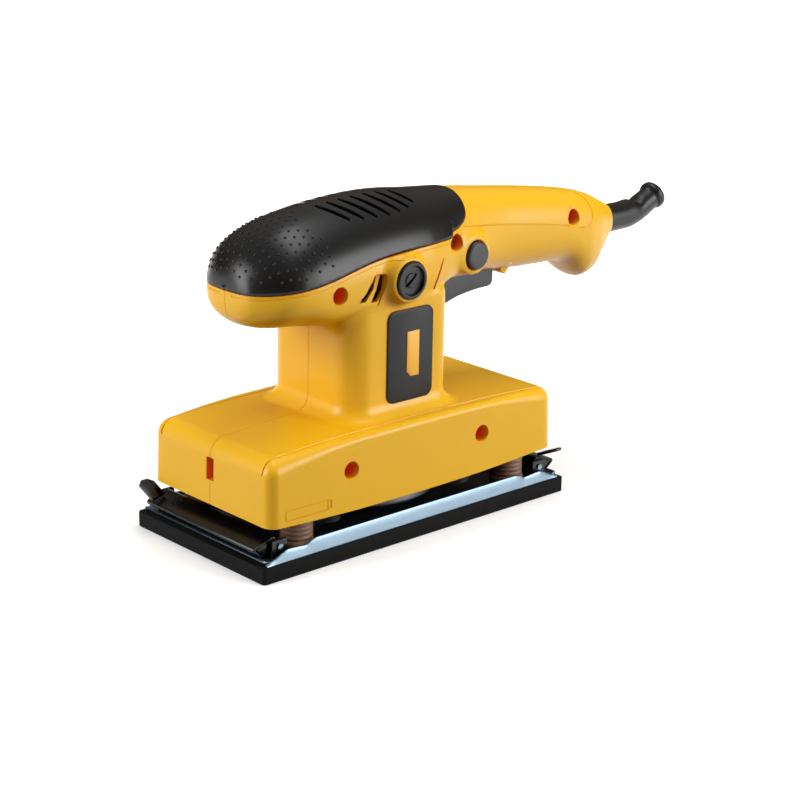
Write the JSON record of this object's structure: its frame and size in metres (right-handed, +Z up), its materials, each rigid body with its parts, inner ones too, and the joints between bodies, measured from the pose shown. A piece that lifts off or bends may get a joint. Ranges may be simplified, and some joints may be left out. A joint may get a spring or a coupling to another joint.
{
  "type": "orbital sander",
  "caption": "Third-sheet finishing sander: foam-soled pad on elastomer legs, two-part housing with palm nose and rear trigger handle, sprung paper clamps.",
  "frame": {"origin": "centre of the pad's sanding face", "axes": "+Z up out of the pad through the motor, +X along the tool towards the rear handle and its cord boot, the palm nose towards -X, Y across"},
  "size_m": [0.3023, 0.0958, 0.152],
  "materials": {
    "abs_amber": "satin moulded ABS",
    "grip_black": "satin over-mould",
    "label_charcoal": "printed foil",
    "label_amber": "printed foil",
    "label_silver": "printed foil",
    "screw_zinc": "zinc plated",
    "elastomer_dark": "moulded",
    "elastomer_brown": "moulded",
    "lamination_steel": "varnished laminations",
    "copper_enamel": "enamelled copper",
    "cast_aluminium": "as cast",
    "bearing_steel": "ground",
    "nylon_grey": "moulded nylon",
    "brass_tube": "drawn",
    "carbon": "sintered carbon",
    "spring_steel": "oil tempered",
    "brush_cap_plastic": "moulded phenolic",
    "switch_plastic": "moulded",
    "capacitor_film": "dipped film",
    "wire_sleeve": "pvc",
    "boot_rubber": "moulded",
    "trigger_plastic": "moulded",
    "shaft_steel": "ground",
    "commutator_copper": "turned copper",
    "weight_zinc": "die cast",
    "foam_black": "closed-cell foam",
    "plated_steel": "bright zinc plated",
    "black_steel": "black oxide"
  },
  "bodies": {
    "housing": {"housing_left": "abs_amber", "housing_right": "abs_amber", "palm_grip": "grip_black", "label_plate": "label_charcoal", "label_badge": "label_amber", "rating_plate": "label_silver", "housing_screws": "screw_zinc", "bump_stops": "elastomer_dark", "elastomer_legs": "elastomer_brown", "leg_screws": "screw_zinc", "stator_core": "lamination_steel", "field_windings": "copper_enamel", "bearing_bracket": "cast_aluminium", "lower_bearing": "bearing_steel", "upper_bearing": "bearing_steel", "bearing_sleeve": "elastomer_dark", "upper_bearing_seat": "nylon_grey", "fan_baffle": "nylon_grey", "brush_holders": "brass_tube", "carbon_brushes": "carbon", "brush_springs": "spring_steel", "brush_caps": "brush_cap_plastic", "switch_body": "switch_plastic", "capacitor": "capacitor_film", "terminal_block": "nylon_grey", "cord_clamp": "switch_plastic", "cord_clamp_screws": "screw_zinc", "motor_leads": "wire_sleeve", "cord_leads": "wire_sleeve", "cord_boot": "boot_rubber", "trigger_pin": "spring_steel", "trigger_spring": "spring_steel", "button_spring": "spring_steel"},
    "armature": {"motor_shaft": "shaft_steel", "armature_core": "lamination_steel", "armature_windings": "copper_enamel", "commutator": "commutator_copper", "cooling_fan": "nylon_grey", "counterweight": "weight_zinc", "retaining_ring": "spring_steel"},
    "pad": {"foam_pad": "foam_black", "base_plate": "plated_steel", "bearing_hub": "cast_aluminium", "hub_rivets": "screw_zinc", "pad_bearing": "bearing_steel", "clamp_brackets": "plated_steel", "clamp_pins": "spring_steel", "clamp_springs": "spring_steel"},
    "trigger": {"trigger": "trigger_plastic"},
    "lock_button": {"lock_button": "trigger_plastic"},
    "front_clamp": {"front_clamp": "black_steel"},
    "rear_clamp": {"rear_clamp": "black_steel"}
  },
  "joints": [
    {"name": "motor_spin", "type": "hinge", "parent": "housing", "child": "armature", "pos_m": [-0.001, 0, 0.05], "axis": [0, 0, 1], "continuous": true},
    {"name": "pad_orbit", "type": "hinge", "parent": "armature", "child": "pad", "pos_m": [0, 0, 0.0123], "axis": [0, 0, 1], "continuous": true, "deforming": ["elastomer_legs"]},
    {"name": "front_clamp_open", "type": "hinge", "parent": "pad", "child": "front_clamp", "pos_m": [-0.08, 0, 0.0138], "axis": [0, 1, 0], "range_deg": [0, 22], "stiffness_Nm_per_rad": 0.3, "springref_deg": -28.65, "deforming": ["clamp_springs"]},
    {"name": "rear_clamp_open", "type": "hinge", "parent": "pad", "child": "rear_clamp", "pos_m": [0.08, 0, 0.0138], "axis": [0, -1, 0], "range_deg": [0, 22], "stiffness_Nm_per_rad": 0.3, "springref_deg": -28.65},
    {"name": "trigger_pull", "type": "hinge", "parent": "housing", "child": "trigger", "pos_m": [0.084, 0, 0.11], "axis": [0, 1, 0], "range_deg": [0, 7], "stiffness_Nm_per_rad": 0.5, "springref_deg": -17.19, "deforming": ["trigger_spring"]},
    {"name": "lock_button_press", "type": "slide", "parent": "housing", "child": "lock_button", "axis": [0, 1, 0], "range_m": [0, 0.003], "stiffness_N_per_m": 400, "springref_m": -0.002, "deforming": ["button_spring"]}
  ],
  "couplings": [
    {"joint": "pad_orbit", "follows": "motor_spin", "ratio": -1}
  ]
}
